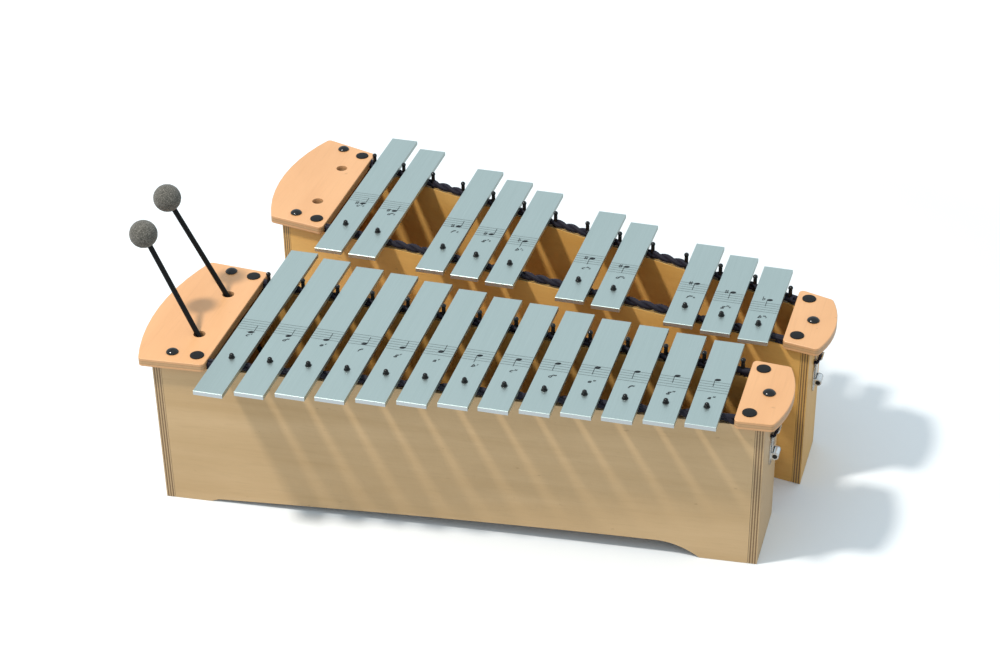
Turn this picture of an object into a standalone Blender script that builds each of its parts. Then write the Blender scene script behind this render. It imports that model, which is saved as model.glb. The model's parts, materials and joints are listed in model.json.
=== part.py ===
"""Alto metallophone: two plywood resonator boxes, the diatonic one in front and the chromatic one
behind it, with metal sound bars on cords, and two mallets standing in the left top board.

Metres, +Z up. The origin is on the floor, under the middle of the left end panel of the diatonic box.
X runs along the instrument from the low notes to the high ones, and Y to its back.
"""

import math

import bmesh
import bpy
from mathutils import Matrix, Vector

# General clearances
GAP = 0.0003
FIT_CLEARANCE = 0.0003

# Sound bars
BAR_WIDTH = 0.030
BAR_THICKNESS = 0.0045
BAR_PITCH = 0.03912
BAR_HOLE_RADIUS = 0.0034
BAR_UNDERCUT_DEPTH = 0.0012
BAR_UNDERCUT_SHARE = 0.34
BAR_EDGE_CHAMFER = 0.0004
UNDERCUT_STEPS = 8

# Resonator boxes, shared sizes
BOX_HEIGHT = 0.1635
PANEL_THICKNESS = 0.009
END_THICKNESS = 0.009
BOTTOM_BOARD_THICKNESS = 0.005
BOTTOM_BOARD_HEIGHT = 0.020

# Cut-out along the foot of the long panels: low at its left end, high at its right end
LEFT_FOOT_LENGTH = 0.048
RIGHT_FOOT_LENGTH = 0.0565
CUT_OUT_RAMP = 0.008
CUT_OUT_LEFT_HEIGHT = 0.0032
CUT_OUT_RIGHT_HEIGHT = 0.0157
CUT_OUT_SHOULDER = 0.044
CUT_OUT_BOW = 1.65
CUT_OUT_STEPS = 10

# Top boards
BOARD_THICKNESS = 0.009
BOARD_FRONT_OVERHANG = 0.0073
BOARD_REAR_OVERHANG = 0.0100
BOARD_LEFT_OVERHANG = 0.0105
BOARD_RIGHT_OVERHANG = 0.0085
BOARD_RIGHT_BULGE = 0.0107
BOARD_CORNER_RADIUS = 0.0045
BOARD_EDGE_CHAMFER = 0.0005
LEFT_BOARD_TO_BAR = 0.0104
RIGHT_BOARD_TO_BAR = 0.0127

# Rubber pads on the top boards
PAD_RADIUS = 0.0070
PAD_HEIGHT = 0.0012
PAD_INSET = 0.0123
PAD_FRONT_INSET = 0.0155
PAD_REAR_INSET = 0.0130

# Domed caps over the screws that hold the top boards down
CAP_RADIUS = 0.0063
CAP_HEIGHT = 0.0036
CAP_PLUG_RADIUS = 0.0034
CAP_PLUG_LENGTH = 0.0040
LEFT_CAP_INSET = 0.0385
LEFT_CAP_FRONT_INSET = 0.0170
LEFT_CAP_REAR_INSET = 0.0115

# Mallets and their holes in the left top boards
MALLET_HOLE_RADIUS = 0.00625
MALLET_HOLE_INSET = 0.0250
MALLET_HOLE_SPACING = 0.0795
MALLET_LENGTH = 0.284
MALLET_SHAFT_RADIUS = 0.0028
MALLET_TIP_RADIUS = 0.0024
MALLET_HEAD_RADIUS = 0.0143
MALLET_SHAFT_IN_HEAD = 0.006
MALLET_POSES = [
    ("mallet_1", -1, math.radians(30.8), math.radians(162.6)),
    ("mallet_2", 1, math.radians(25.7), math.radians(186.3)),
]

# Suspension cord, and the single strand that it ends in
CORD_RADIUS = 0.0044
STRAND_RADIUS = 0.0018
CORD_BEVEL_STEPS = 2
LEFT_CORD_HOLE_DROP = 0.0135
LEFT_CORD_BOW_RADIUS = 0.012
CORD_DIP = 0.0043

# Guide pins in the top edges of the long panels
PIN_STEM_RADIUS = 0.0016
PIN_NECK_RADIUS = 0.0012
PIN_COLLAR_RADIUS = 0.0030
PIN_COLLAR_HEIGHT = 0.0016
PIN_COLLAR_SUNK = 0.0004
PIN_BALL_RADIUS = 0.0024
PIN_HEIGHT_OVER_BAR = 0.0050
PIN_ROOT = 0.004
PIN_WAY = 0.0004

# Cord tensioner on the right end panel
HOOK_OFFSET = 0.0055
STRAND_SPACING = 0.0170
STRAND_DROP = 0.0365
STRAND_HOLE_RADIUS = 0.0036
PLATE_WIDTH = 0.0240
PLATE_THICKNESS = 0.0010
PLATE_TOP_UNDER_STRAND = 0.0032
PLATE_BOTTOM_UNDER_PIVOT = 0.0107
PIVOT_DROP = 0.0253
PIVOT_RADIUS = 0.00225
EYE_WALL = 0.0012
EYE_SWEEP = math.radians(300)
EAR_THICKNESS = 0.0012
LEVER_WIDTH = 0.0110
LEVER_THICKNESS = 0.0011
HOOK_OUT = 0.0052
HOOK_RISE = 0.0042
HOOK_START = math.radians(-110)
HOOK_OPENING = math.radians(20)
LOOP_ARM = [(0.0, 1.0, 0.0), (0.25, 1.0, 0.0), (0.62, 0.98, 0.32), (0.88, 0.90, 0.80), (1.0, 0.74, 1.0)]

# The two rows of notes
WHOLE_SCALE = [("c", 0), ("d", 2), ("e", 4), ("f", 5), ("g", 7), ("a", 9), ("b", 11)]
CHROMATIC_SCALE = [("c_sharp", 1, 0), ("d_sharp", 3, 1), ("f_sharp", 6, 3), ("g_sharp", 8, 4), ("b_flat", 10, 5)]
LOWEST_OCTAVE = 4
OCTAVE_PLACES = 7
OCTAVE_SEMITONES = 12
HIGHEST_SEMITONE = 22

# Plan of each box. Depths are measured from the middle of its left end panel, at the outer faces
DIATONIC_LENGTH = 0.6087
DIATONIC_FIRST_BAR = 0.0779
DIATONIC_LEFT_BULGE = 0.0180
DIATONIC_FRONT_LEFT = -0.0844
DIATONIC_FRONT_RIGHT = -0.0440
DIATONIC_REAR_LEFT = 0.0910
DIATONIC_REAR_RIGHT = 0.0433
DIATONIC_LONGEST = 0.2784
DIATONIC_SHORTEST = 0.1505
DIATONIC_CENTRE_LEFT = 0.0
DIATONIC_CENTRE_RIGHT = 0.0

CHROMATIC_PLACE = (0.0282, 0.3016)
CHROMATIC_TURN = math.radians(-0.73)
CHROMATIC_LENGTH = 0.6032
CHROMATIC_FIRST_BAR = 0.0738
CHROMATIC_LEFT_BULGE = 0.0200
CHROMATIC_FRONT_LEFT = -0.0843
CHROMATIC_FRONT_RIGHT = -0.1951
CHROMATIC_REAR_LEFT = 0.0843
CHROMATIC_REAR_RIGHT = -0.1135
CHROMATIC_LONGEST = 0.2621
CHROMATIC_SHORTEST = 0.1459
CHROMATIC_CENTRE_LEFT = -0.0198
CHROMATIC_CENTRE_RIGHT = -0.1383

# Round pieces: sides of small, middling and large ones
FINE_SIDES = 8
ROUND_SIDES = 12
BALL_SIDES = 16

# Heights and distances that follow
BOARD_BOTTOM = BOX_HEIGHT + GAP
BOARD_TOP = BOARD_BOTTOM + BOARD_THICKNESS
CORD_HEIGHT = BOX_HEIGHT + GAP + CORD_RADIUS
BAR_BOTTOM = CORD_HEIGHT + CORD_RADIUS + GAP
BAR_TOP = BAR_BOTTOM + BAR_THICKNESS
PIN_TOP = BAR_TOP + PIN_HEIGHT_OVER_BAR
BOTTOM_BOARD_TOP = BOTTOM_BOARD_HEIGHT + BOTTOM_BOARD_THICKNESS
LEFT_CORD_HOLE_HEIGHT = BOX_HEIGHT - LEFT_CORD_HOLE_DROP
STRAND_HEIGHT = BOX_HEIGHT - STRAND_DROP
PLATE_FACE = GAP + PLATE_THICKNESS
PIVOT_OUT = PLATE_FACE + GAP + LEVER_THICKNESS + FIT_CLEARANCE + PIVOT_RADIUS


class Box:
    """Plan of one resonator box: where its faces, cords and bars are at a distance x along it."""

    def __init__(self, name, place, turn, length, first_bar, left_bulge, front, rear, lengths, centre, notes):
        self.name = name
        self.place = place
        self.turn = turn
        self.left_bulge = left_bulge
        self.left = -END_THICKNESS / 2
        self.right = self.left + length
        self.left_inner = self.left + END_THICKNESS
        self.right_inner = self.right - END_THICKNESS
        self.front = front
        self.rear = rear
        self.lengths = lengths
        self.centre = centre
        self.bars = [(note, semitone, first_bar + step * BAR_PITCH) for note, semitone, step in notes]
        self.first_x = self.bars[0][2]
        self.last_x = self.bars[-1][2]
        self.left_board_edge = self.first_x - BAR_WIDTH / 2 - LEFT_BOARD_TO_BAR
        self.right_board_edge = self.last_x + BAR_WIDTH / 2 + RIGHT_BOARD_TO_BAR

    def share(self, x):
        return (x - self.left) / (self.right - self.left)

    def front_face(self, x):
        return self.front[0] + (self.front[1] - self.front[0]) * self.share(x)

    def rear_face(self, x):
        return self.rear[0] + (self.rear[1] - self.rear[0]) * self.share(x)

    def front_depth(self):
        return PANEL_THICKNESS * math.hypot(1, (self.front[1] - self.front[0]) / (self.right - self.left))

    def rear_depth(self):
        return PANEL_THICKNESS * math.hypot(1, (self.rear[1] - self.rear[0]) / (self.right - self.left))

    def front_line(self, x):
        return self.front_face(x) + self.front_depth() / 2

    def rear_line(self, x):
        return self.rear_face(x) - self.rear_depth() / 2

    def middle(self, x):
        return (self.front_face(x) + self.rear_face(x)) / 2

    def bar_centre(self, x):
        along = (x - self.first_x) / (self.last_x - self.first_x)
        return self.centre[0] + (self.centre[1] - self.centre[0]) * along

    def bar_length(self, semitone):
        """A bar's length falls by the same ratio with each semitone."""
        lowest = self.bars[0][1]
        highest = self.bars[-1][1]
        along = (semitone - lowest) / (highest - lowest)
        return self.lengths[0] * (self.lengths[1] / self.lengths[0]) ** along

    def front_pins(self):
        return [x for _, _, x in self.bars]

    def rear_pins(self):
        """One pin on each side of every bar, shared where two bars are neighbours."""
        places = set()
        for _, _, x in self.bars:
            places.add(round(x - BAR_PITCH / 2, 6))
            places.add(round(x + BAR_PITCH / 2, 6))
        return sorted(places)


def diatonic_notes():
    notes = []
    for octave in range(2):
        for step, (letter, semitone) in enumerate(WHOLE_SCALE):
            pitch = semitone + OCTAVE_SEMITONES * octave
            if pitch < HIGHEST_SEMITONE:
                notes.append((f"{letter}{LOWEST_OCTAVE + octave}", pitch, step + OCTAVE_PLACES * octave))
    return notes


def chromatic_notes():
    notes = []
    for octave in range(2):
        for letter, semitone, step in CHROMATIC_SCALE:
            pitch = semitone + OCTAVE_SEMITONES * octave
            notes.append((f"{letter}{LOWEST_OCTAVE + octave}", pitch, step + OCTAVE_PLACES * octave))
    return notes


def make_material(name, colour, roughness, metallic=0.0):
    material = bpy.data.materials.new(name)
    material.use_nodes = True
    shader = material.node_tree.nodes["Principled BSDF"]
    shader.inputs["Base Color"].default_value = (*colour, 1.0)
    shader.inputs["Roughness"].default_value = roughness
    shader.inputs["Metallic"].default_value = metallic
    return material


def make_object(name, bm, material, parent, location=(0, 0, 0)):
    """Finish a mesh, shade it smooth up to its sharp edges, and place it under its parent."""
    bmesh.ops.recalc_face_normals(bm, faces=bm.faces)
    mesh = bpy.data.meshes.new(name)
    bm.to_mesh(mesh)
    bm.free()
    mesh.shade_smooth()
    mesh.set_sharp_from_angle(angle=math.radians(35))
    obj = bpy.data.objects.new(name, mesh)
    if material:
        mesh.materials.append(material)
    obj.location = location
    obj.parent = parent
    bpy.context.scene.collection.objects.link(obj)
    return obj


def make_helper(name, bm, parent, location=(0, 0, 0)):
    """A solid that is only cut away from others or joined to them."""
    helper = make_object(name, bm, None, parent, location)
    helper.hide_render = True
    helper.display_type = "WIRE"
    return helper


def combine(obj, helper, operation):
    modifier = obj.modifiers.new(helper.name, "BOOLEAN")
    modifier.object = helper
    modifier.operation = operation
    modifier.solver = "EXACT"


def make_empty(name, location, rotation, parent=None):
    empty = bpy.data.objects.new(name, None)
    empty.location = location
    empty.rotation_euler = rotation
    empty.parent = parent
    bpy.context.scene.collection.objects.link(empty)
    return empty


def add_layers(bm, layers):
    """A solid through a stack of loops that have the same number of points."""
    rings = [[bm.verts.new(point) for point in layer] for layer in layers]
    count = len(rings[0])
    bm.faces.new(reversed(rings[0]))
    bm.faces.new(rings[-1])
    for low, high in zip(rings, rings[1:]):
        for i in range(count):
            j = (i + 1) % count
            bm.faces.new((low[i], low[j], high[j], high[i]))


def add_turned(bm, profile, centre, sides):
    """A turned solid about a vertical axis; its profile of (radius, height) runs upwards."""
    x, y, z = centre
    rings = []
    for radius, height in profile:
        if radius == 0:
            rings.append([bm.verts.new((x, y, z + height))])
            continue
        angles = [2 * math.pi * (i + 0.5) / sides for i in range(sides)]
        rings.append([bm.verts.new((x + radius * math.cos(a), y + radius * math.sin(a), z + height)) for a in angles])
    if len(rings[0]) > 1:
        bm.faces.new(reversed(rings[0]))
    if len(rings[-1]) > 1:
        bm.faces.new(rings[-1])
    for low, high in zip(rings, rings[1:]):
        for i in range(sides):
            j = (i + 1) % sides
            if len(low) == 1:
                bm.faces.new((low[0], high[j], high[i]))
            elif len(high) == 1:
                bm.faces.new((low[i], low[j], high[0]))
            else:
                bm.faces.new((low[i], low[j], high[j], high[i]))


def ball_profile(radius, centre, start, end, steps):
    """Points of a circle's right half between two angles measured from its lowest point."""
    points = []
    for i in range(steps + 1):
        angle = start + (end - start) * i / steps
        reach = radius * math.sin(angle)
        points.append((reach if reach > 1e-6 else 0, centre - radius * math.cos(angle)))
    return points


def foot_outline(left, right, foot_left, foot_right):
    """Outline of a long panel in X and Z, with the cut-out between its two feet."""
    outline = [(left, BOX_HEIGHT), (left, 0.0), (foot_left, 0.0)]
    start = foot_left + CUT_OUT_RAMP
    end = foot_right - CUT_OUT_SHOULDER
    rise = CUT_OUT_RIGHT_HEIGHT - CUT_OUT_LEFT_HEIGHT
    for i in range(CUT_OUT_STEPS + 1):
        along = i / CUT_OUT_STEPS
        height = CUT_OUT_LEFT_HEIGHT + rise * (1 - (1 - along) ** CUT_OUT_BOW)
        outline.append((start + (end - start) * along, height))
    for i in range(1, CUT_OUT_STEPS + 1):
        along = i / CUT_OUT_STEPS
        outline.append((end + CUT_OUT_SHOULDER * along, CUT_OUT_RIGHT_HEIGHT * (1 - along**2)))
    outline += [(right, 0.0), (right, BOX_HEIGHT)]
    return outline


def make_long_panel(box, name, face, depth, material, parent):
    """A front or rear panel between the two end panels; depth is signed towards the inside."""
    foot_left = box.left + LEFT_FOOT_LENGTH
    foot_right = box.right - RIGHT_FOOT_LENGTH
    outline = foot_outline(box.left_inner + GAP, box.right_inner - GAP, foot_left, foot_right)
    outer = [(x, face(x), z) for x, z in outline]
    inner = [(x, face(x) + depth, z) for x, z in outline]
    bm = bmesh.new()
    add_layers(bm, [outer, inner])
    return make_object(f"{box.name}_{name}", bm, material, parent)


def make_end_panel(box, name, left, material, parent):
    """An end panel as deep as the box, whose front and rear edges stay flush with the long panels."""
    right = left + END_THICKNESS
    plan = [
        (left, box.front_face(left)),
        (right, box.front_face(right)),
        (right, box.rear_face(right)),
        (left, box.rear_face(left)),
    ]
    bm = bmesh.new()
    add_layers(bm, [[(x, y, z) for x, y in plan] for z in (0.0, BOX_HEIGHT)])
    return make_object(f"{box.name}_{name}", bm, material, parent)


def make_bottom_board(box, material, parent):
    left = box.left_inner + GAP
    right = box.right_inner - GAP
    front = box.front_depth() + GAP
    rear = box.rear_depth() + GAP
    plan = [
        (left, box.front_face(left) + front),
        (right, box.front_face(right) + front),
        (right, box.rear_face(right) - rear),
        (left, box.rear_face(left) - rear),
    ]
    bm = bmesh.new()
    add_layers(bm, [[(x, y, z) for x, y in plan] for z in (BOTTOM_BOARD_HEIGHT, BOTTOM_BOARD_TOP)])
    return make_object(f"{box.name}_bottom_board", bm, material, parent)


def round_corner(before, corner, after, radius, steps=4):
    """Points of the arc that rounds one corner of an outline."""
    corner = Vector(corner)
    a = (Vector(before) - corner).normalized()
    b = (Vector(after) - corner).normalized()
    half = math.acos(max(-1.0, min(1.0, a.dot(b)))) / 2
    centre = corner + (a + b).normalized() * radius / math.sin(half)
    start = corner + a * radius / math.tan(half) - centre
    end = corner + b * radius / math.tan(half) - centre
    sweep = start.angle_signed(end)
    return [centre + Matrix.Rotation(-sweep * i / steps, 2) @ start for i in range(steps + 1)]


def board_outline(inner_x, outer_x, bulge, box, inset):
    """Outline of a top board: straight inner edge, edges along the panels, and a bowed outer end."""
    sign = 1 if outer_x > inner_x else -1
    inner = inner_x + sign * inset
    outer = outer_x - sign * inset
    front_inner = (inner, box.front_face(inner) - BOARD_FRONT_OVERHANG + inset)
    rear_inner = (inner, box.rear_face(inner) + BOARD_REAR_OVERHANG - inset)
    front_outer = (outer, box.front_face(outer) - BOARD_FRONT_OVERHANG + inset)
    rear_outer = (outer, box.rear_face(outer) + BOARD_REAR_OVERHANG - inset)
    half_chord = (rear_outer[1] - front_outer[1]) / 2
    middle = (rear_outer[1] + front_outer[1]) / 2
    radius = (half_chord**2 + bulge**2) / (2 * bulge)
    centre = outer + sign * (bulge - radius)
    reach = math.asin(half_chord / radius)
    steps = 10
    bow = []
    for i in range(steps + 1):
        angle = reach * (2 * i / steps - 1)
        bow.append((centre + sign * radius * math.cos(angle), middle + radius * math.sin(angle)))
    corner = BOARD_CORNER_RADIUS - inset
    points = round_corner(rear_inner, front_inner, front_outer, corner)
    points += round_corner(front_inner, bow[0], bow[1], corner)
    points += bow[1:-1]
    points += round_corner(bow[-2], bow[-1], rear_inner, corner)
    points += round_corner(bow[-1], rear_inner, front_inner, corner)
    return [(p[0], p[1]) for p in points]


def make_top_board(box, name, inner_x, outer_x, bulge, material, parent):
    full = board_outline(inner_x, outer_x, bulge, box, 0.0)
    eased = board_outline(inner_x, outer_x, bulge, box, BOARD_EDGE_CHAMFER)
    heights = [
        (eased, BOARD_BOTTOM),
        (full, BOARD_BOTTOM + BOARD_EDGE_CHAMFER),
        (full, BOARD_TOP - BOARD_EDGE_CHAMFER),
        (eased, BOARD_TOP),
    ]
    bm = bmesh.new()
    add_layers(bm, [[(x, y, z) for x, y in outline] for outline, z in heights])
    return make_object(f"{box.name}_{name}", bm, material, parent)


def pad_places(box, edge, sign):
    x = edge + sign * PAD_INSET
    front = box.front_face(x) - BOARD_FRONT_OVERHANG + PAD_FRONT_INSET
    rear = box.rear_face(x) + BOARD_REAR_OVERHANG - PAD_REAR_INSET
    return [(x, front), (x, rear)]


def left_cap_places(box):
    x = box.left_board_edge - LEFT_CAP_INSET
    front = box.front_face(x) - BOARD_FRONT_OVERHANG + LEFT_CAP_FRONT_INSET
    rear = box.rear_face(x) + BOARD_REAR_OVERHANG - LEFT_CAP_REAR_INSET
    return [(x, front), (x, rear)]


def right_cap_places(box):
    x = box.right - END_THICKNESS / 2
    return [(x, box.middle(x) + (BOARD_REAR_OVERHANG - BOARD_FRONT_OVERHANG) / 2)]


def mallet_holes(box):
    x = box.left_board_edge - MALLET_HOLE_INSET
    middle = box.middle(x) + (BOARD_REAR_OVERHANG - BOARD_FRONT_OVERHANG) / 2
    return [(x, middle - MALLET_HOLE_SPACING / 2), (x, middle + MALLET_HOLE_SPACING / 2)]


def make_pads(box, name, places, parent):
    chamfer = PAD_HEIGHT / 3
    profile = [
        (PAD_RADIUS, -BOARD_THICKNESS / 2),
        (PAD_RADIUS, PAD_HEIGHT - chamfer),
        (PAD_RADIUS - chamfer, PAD_HEIGHT),
    ]
    bm = bmesh.new()
    for x, y in places:
        add_turned(bm, profile, (x, y, BOARD_TOP), BALL_SIDES)
    return make_helper(f"{box.name}_{name}_pads", bm, parent)


def make_board_holes(box, name, mallets, caps, parent):
    """Through holes for the mallets, and blind holes for the plugs of the screw caps."""
    bm = bmesh.new()
    through = [(MALLET_HOLE_RADIUS, -2 * BOARD_THICKNESS), (MALLET_HOLE_RADIUS, BOARD_THICKNESS)]
    for x, y in mallets:
        add_turned(bm, through, (x, y, BOARD_TOP), BALL_SIDES)
    radius = CAP_PLUG_RADIUS + FIT_CLEARANCE
    blind = [(radius, -CAP_PLUG_LENGTH - FIT_CLEARANCE), (radius, BOARD_THICKNESS)]
    for x, y in caps:
        add_turned(bm, blind, (x, y, BOARD_TOP), FINE_SIDES)
    return make_helper(f"{box.name}_{name}_holes", bm, parent)


def make_cap(name, place, material, parent):
    """A screw cap: a plug in the board under a low dome."""
    ball = (CAP_RADIUS**2 + CAP_HEIGHT**2) / (2 * CAP_HEIGHT)
    widest = math.pi - math.asin(CAP_RADIUS / ball)
    profile = [(CAP_PLUG_RADIUS, -CAP_PLUG_LENGTH), (CAP_PLUG_RADIUS, GAP)]
    profile += ball_profile(ball, GAP + CAP_HEIGHT - ball, widest, math.pi, 4)
    bm = bmesh.new()
    add_turned(bm, profile, (0, 0, 0), ROUND_SIDES)
    return make_object(name, bm, material, parent, (place[0], place[1], BOARD_TOP))


def pin_profile(with_collar):
    """A guide pin from its root in the panel: stem, collar, neck and ball."""
    ball_centre = PIN_TOP - PIN_BALL_RADIUS
    profile = [(PIN_STEM_RADIUS, BOX_HEIGHT - PIN_ROOT)]
    start = math.asin(PIN_NECK_RADIUS / PIN_BALL_RADIUS)
    if with_collar:
        low = BAR_TOP - PIN_COLLAR_SUNK
        high = low + PIN_COLLAR_HEIGHT
        profile += [(PIN_STEM_RADIUS, low), (PIN_COLLAR_RADIUS, low), (PIN_COLLAR_RADIUS, high)]
        start = math.acos((ball_centre - high) / PIN_BALL_RADIUS)
    profile += ball_profile(PIN_BALL_RADIUS, ball_centre, start, math.pi, 4)
    return profile


def make_pins(box, name, places, line, with_collar, parent):
    bm = bmesh.new()
    for x in places:
        add_turned(bm, pin_profile(with_collar), (x, line(x), 0.0), FINE_SIDES)
    return make_helper(f"{box.name}_{name}_pins", bm, parent)


def make_ways(box, name, places, radius, bottom, top, sides, parent):
    """Upright cylinders at the pins, which cut the pins' ways through what lies on the cords."""
    bm = bmesh.new()
    for x, y in places:
        add_turned(bm, [(radius, bottom), (radius, top)], (x, y, 0.0), sides)
    return make_helper(f"{box.name}_{name}", bm, parent)


def make_bar(box, note, semitone, x, holes, material, parent):
    """A sound bar: flat on top, with a shallow tuning cut across the middle of its underside."""
    half = box.bar_length(semitone) / 2
    cut = half * BAR_UNDERCUT_SHARE
    outline = [(-half, 0.0)]
    for i in range(UNDERCUT_STEPS + 1):
        along = 2 * i / UNDERCUT_STEPS - 1
        outline.append((cut * along, BAR_UNDERCUT_DEPTH * math.cos(math.pi / 2 * along)))
    outline += [
        (half, 0.0),
        (half, BAR_THICKNESS - BAR_EDGE_CHAMFER),
        (half - BAR_EDGE_CHAMFER, BAR_THICKNESS),
        (BAR_EDGE_CHAMFER - half, BAR_THICKNESS),
        (-half, BAR_THICKNESS - BAR_EDGE_CHAMFER),
    ]
    bm = bmesh.new()
    add_layers(bm, [[(side * BAR_WIDTH / 2, y, z) for y, z in outline] for side in (-1, 1)])
    bar = make_object(f"bar_{note}", bm, material, parent, (x, box.bar_centre(x), BAR_BOTTOM))
    combine(bar, holes, "DIFFERENCE")
    return bar


def smooth_route(points, step):
    """Points of one smooth curve through the route's own points; long straight runs stay whole."""
    straight = 8 * step
    route = []
    count = len(points)
    for i in range(count - 1):
        p0, p1, p2, p3 = points[max(i - 1, 0)], points[i], points[i + 1], points[min(i + 2, count - 1)]
        span = (p2.xyz - p1.xyz).length
        parts = 1 if span > straight else max(1, round(span / step))
        for k in range(parts):
            t = k / parts
            bend = 2 * p1 + (p2 - p0) * t + (2 * p0 - 5 * p1 + 4 * p2 - p3) * t**2 + (3 * p1 - 3 * p2 + p3 - p0) * t**3
            route.append(bend / 2 if parts > 1 else p1)
    route.append(points[-1])
    return route


def between(start, end, shares, radius):
    """A route point whose X, Y and Z are each their own share of the way from start to end."""
    return Vector([a + (b - a) * s for a, b, s in zip(start, end, shares)] + [radius])


def line_points(line, inner_x, outer_x):
    """The cord on its panel: level under the bars, then dipping towards the top board's edge."""
    points = []
    for share, dip in ((0.0, 0.0), (0.55, 0.25), (1.0, 1.0)):
        x = inner_x + (outer_x - inner_x) * share
        points.append(Vector((x, line(x), CORD_HEIGHT - CORD_DIP * dip, CORD_RADIUS)))
    return points


def left_branch(box, line, side):
    """From under the first bar down through the left end panel, front (-1) or rear (1)."""
    points = line_points(line, box.first_x - BAR_WIDTH / 4, box.left_board_edge)
    edge = points[-1].xyz
    hole = (box.left_inner, box.middle(0) + side * LEFT_CORD_BOW_RADIUS, LEFT_CORD_HOLE_HEIGHT)
    for shares in ((0.28, 0.14, 0.32), (0.60, 0.42, 0.62), (0.86, 0.80, 0.90), (1.0, 1.0, 1.0)):
        points.append(between(edge, hole, shares, CORD_RADIUS))
    points.append(Vector((box.left, hole[1], hole[2], CORD_RADIUS)))
    return points


def left_bow(box):
    """The cord's turn outside the left end panel, under the overhang of the top board."""
    middle = box.middle(0)
    points = []
    for degrees in (30, 60, 90, 120, 150):
        angle = math.radians(degrees)
        x = box.left - CORD_RADIUS / 2 - LEFT_CORD_BOW_RADIUS * math.sin(angle)
        y = middle - LEFT_CORD_BOW_RADIUS * math.cos(angle)
        points.append(Vector((x, y, LEFT_CORD_HOLE_HEIGHT, CORD_RADIUS)))
    return points


def hook_middle(box):
    return box.middle(box.right) + HOOK_OFFSET


def strand_end(box):
    """Where the cord's single strands end, just proud of the right end panel."""
    return box.right + PLATE_FACE + GAP


def right_branch(box, line, side):
    """From under the last bar down to its own hole in the right end panel, as a single strand."""
    points = line_points(line, box.last_x + BAR_WIDTH / 4, box.right_board_edge)
    edge = points[-1].xyz
    hole_y = hook_middle(box) + side * STRAND_SPACING / 2
    hole = (box.right_inner - STRAND_RADIUS, hole_y, STRAND_HEIGHT)
    points.append(between(edge, hole, (0.42, 0.24, 0.22), CORD_RADIUS))
    points.append(between(edge, hole, (0.66, 0.62, 0.56), CORD_RADIUS))
    points.append(between(edge, hole, (0.78, 0.90, 0.84), (CORD_RADIUS + STRAND_RADIUS) / 2))
    points.append(between(edge, hole, (1.0, 1.0, 1.0), STRAND_RADIUS))
    points.append(Vector((box.right - END_THICKNESS / 2, hole_y, STRAND_HEIGHT, STRAND_RADIUS)))
    points.append(Vector((strand_end(box), hole_y, STRAND_HEIGHT, STRAND_RADIUS)))
    return points


def cord_route(box):
    """The whole cord of a box: from the hook along the front, round the left end and back."""
    front_right = right_branch(box, box.front_line, -1)
    rear_right = right_branch(box, box.rear_line, 1)
    front_left = left_branch(box, box.front_line, -1)
    rear_left = left_branch(box, box.rear_line, 1)
    return front_right[::-1] + front_left + left_bow(box) + rear_left[::-1] + rear_right


def tube_mesh(name, route, clearance):
    """A closed tube along a route of (x, y, z, radius), widened by a clearance."""
    curve = bpy.data.curves.new(name, "CURVE")
    curve.dimensions = "3D"
    curve.bevel_depth = CORD_RADIUS + clearance
    curve.bevel_resolution = CORD_BEVEL_STEPS
    curve.use_fill_caps = True
    spline = curve.splines.new("POLY")
    spline.points.add(len(route) - 1)
    for point, place in zip(spline.points, route):
        point.co = (place.x, place.y, place.z, 1.0)
        point.radius = (place.w + clearance) / (CORD_RADIUS + clearance)
    carrier = bpy.data.objects.new(name, curve)
    bpy.context.scene.collection.objects.link(carrier)
    mesh = bpy.data.meshes.new_from_object(carrier.evaluated_get(bpy.context.evaluated_depsgraph_get()))
    bpy.data.objects.remove(carrier)
    bm = bmesh.new()
    bm.from_mesh(mesh)
    bmesh.ops.remove_doubles(bm, verts=bm.verts, dist=1e-6)
    bpy.data.meshes.remove(mesh)
    return bm


def make_cord(box, material, parent):
    """The cord and the solid that cuts its channel through the wood and the plate."""
    route = smooth_route(cord_route(box), 2 * CORD_RADIUS)
    cord = make_object(f"{box.name}_cord", tube_mesh("cord", route, 0.0), material, parent)
    along = Vector((4 * GAP, 0, 0, 0))
    longer = [route[0] + along] + route[1:-1] + [route[-1] + along]
    channel = make_helper(f"{box.name}_cord_channel", tube_mesh("channel", longer, GAP), parent)
    return cord, channel


def loop_route(box):
    """The bow that the strands end in, from the plate round the trough of the hook."""
    start = strand_end(box) + GAP
    trough = box.right + HOOK_OUT
    middle = hook_middle(box)
    half = STRAND_SPACING / 2
    points = []
    for side in (-1, 1):
        arm = []
        for out, reach, rise in LOOP_ARM:
            x = start + (trough - start) * out
            arm.append(Vector((x, middle + side * half * reach, STRAND_HEIGHT + HOOK_RISE * rise, STRAND_RADIUS)))
        points += arm if side == -1 else arm[::-1]
    return points


def pivot_place(box):
    return Vector((box.right + PIVOT_OUT, hook_middle(box), STRAND_HEIGHT - PIVOT_DROP))


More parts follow.
